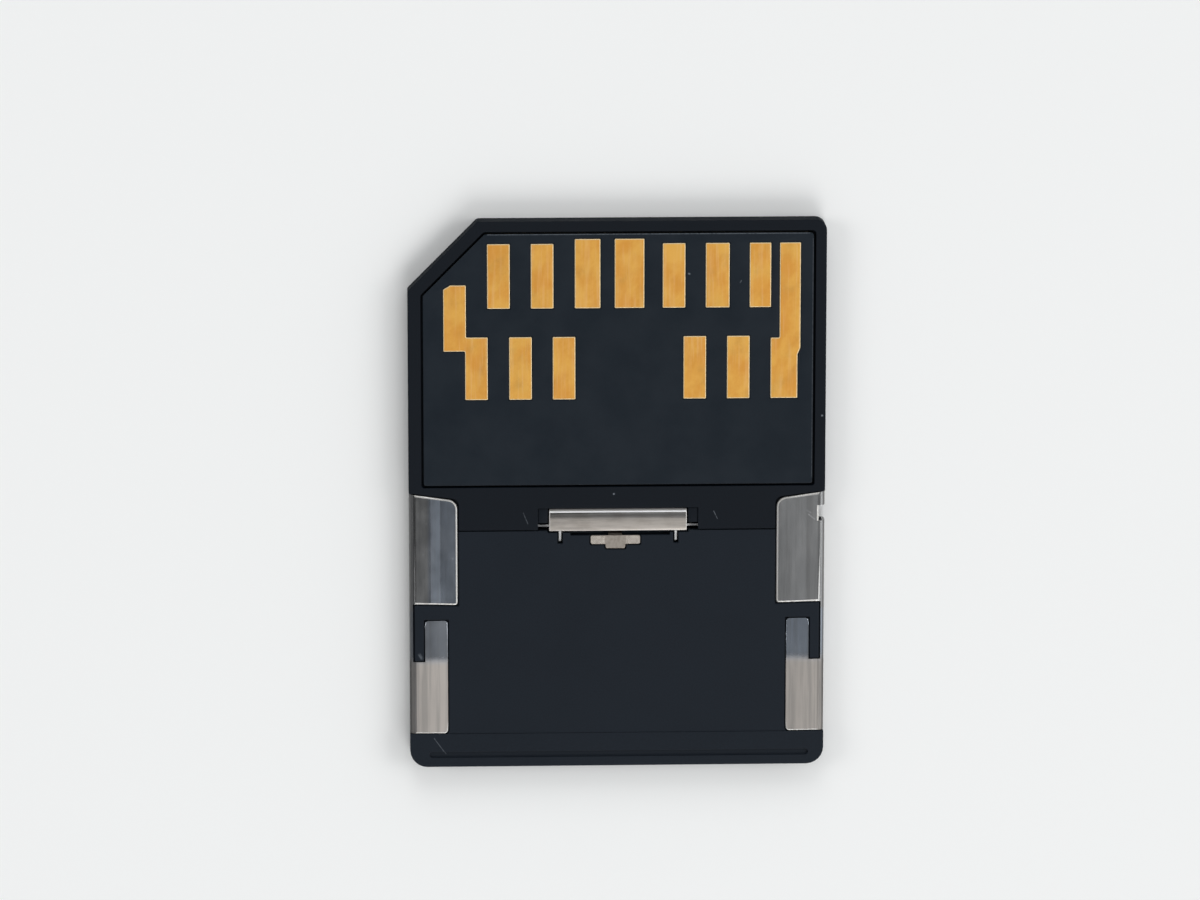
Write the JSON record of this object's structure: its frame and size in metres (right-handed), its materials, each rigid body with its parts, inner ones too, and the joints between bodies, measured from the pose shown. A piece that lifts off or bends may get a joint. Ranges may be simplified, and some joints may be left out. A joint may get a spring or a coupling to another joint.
{
  "type": "multimedia card with adapter",
  "caption": "Thin memory card with gold contacts and a cut corner, held in a full-length adapter by folded steel wings and a rocking latch bar.",
  "frame": {"origin": "centre of the footprint on the back face", "axes": "+Y towards the contact edge, +Z out of the contact face, +X to the right seen from the contact side"},
  "size_m": [0.024, 0.032, 0.0014],
  "materials": {
    "card_plastic": "fine matte moulded",
    "board": "satin solder mask",
    "film": "translucent film",
    "chip": "moulded resin",
    "ceramic": "fired",
    "resistor_body": "coated",
    "gold": "gold plated, satin",
    "adapter_plastic": "fine matte moulded",
    "shell_steel": "rolled and stamped",
    "foot_steel": "knurled ends",
    "bar_steel": "pressed, satin",
    "pin_steel": "drawn wire"
  },
  "bodies": {
    "adapter": {"adapter_frame": "adapter_plastic", "steel_shell": "shell_steel", "latch_spring": "foot_steel", "hinge_pin": "pin_steel"},
    "card": {"card_housing": "card_plastic", "circuit_board": "board", "adhesive_frame": "film", "memory_chip": "chip", "controller_chip": "chip", "capacitor_1": "ceramic", "capacitor_2": "ceramic", "capacitor_3": "ceramic", "resistor_1": "resistor_body", "resistor_2": "resistor_body", "resistor_3": "resistor_body", "resistor_4": "resistor_body", "contact_01": "gold", "contact_02": "gold", "contact_03": "gold", "contact_04": "gold", "contact_05": "gold", "contact_06": "gold", "contact_07": "gold", "contact_08": "gold", "contact_09": "gold", "contact_10": "gold", "contact_11": "gold", "contact_12": "gold", "contact_13": "gold"},
    "latch": {"latch_bar": "bar_steel"}
  },
  "joints": [
    {"name": "card_slide", "type": "slide", "parent": "adapter", "child": "card", "axis": [0, 1, 0], "range_m": [0, 0.004]},
    {"name": "latch_rock", "type": "hinge", "parent": "adapter", "child": "latch", "pos_m": [0.00005, -0.00183, 0.0009], "axis": [1, 0, 0], "range_deg": [0, 6], "stiffness_Nm_per_rad": 0.002, "springref_deg": -11.46}
  ]
}
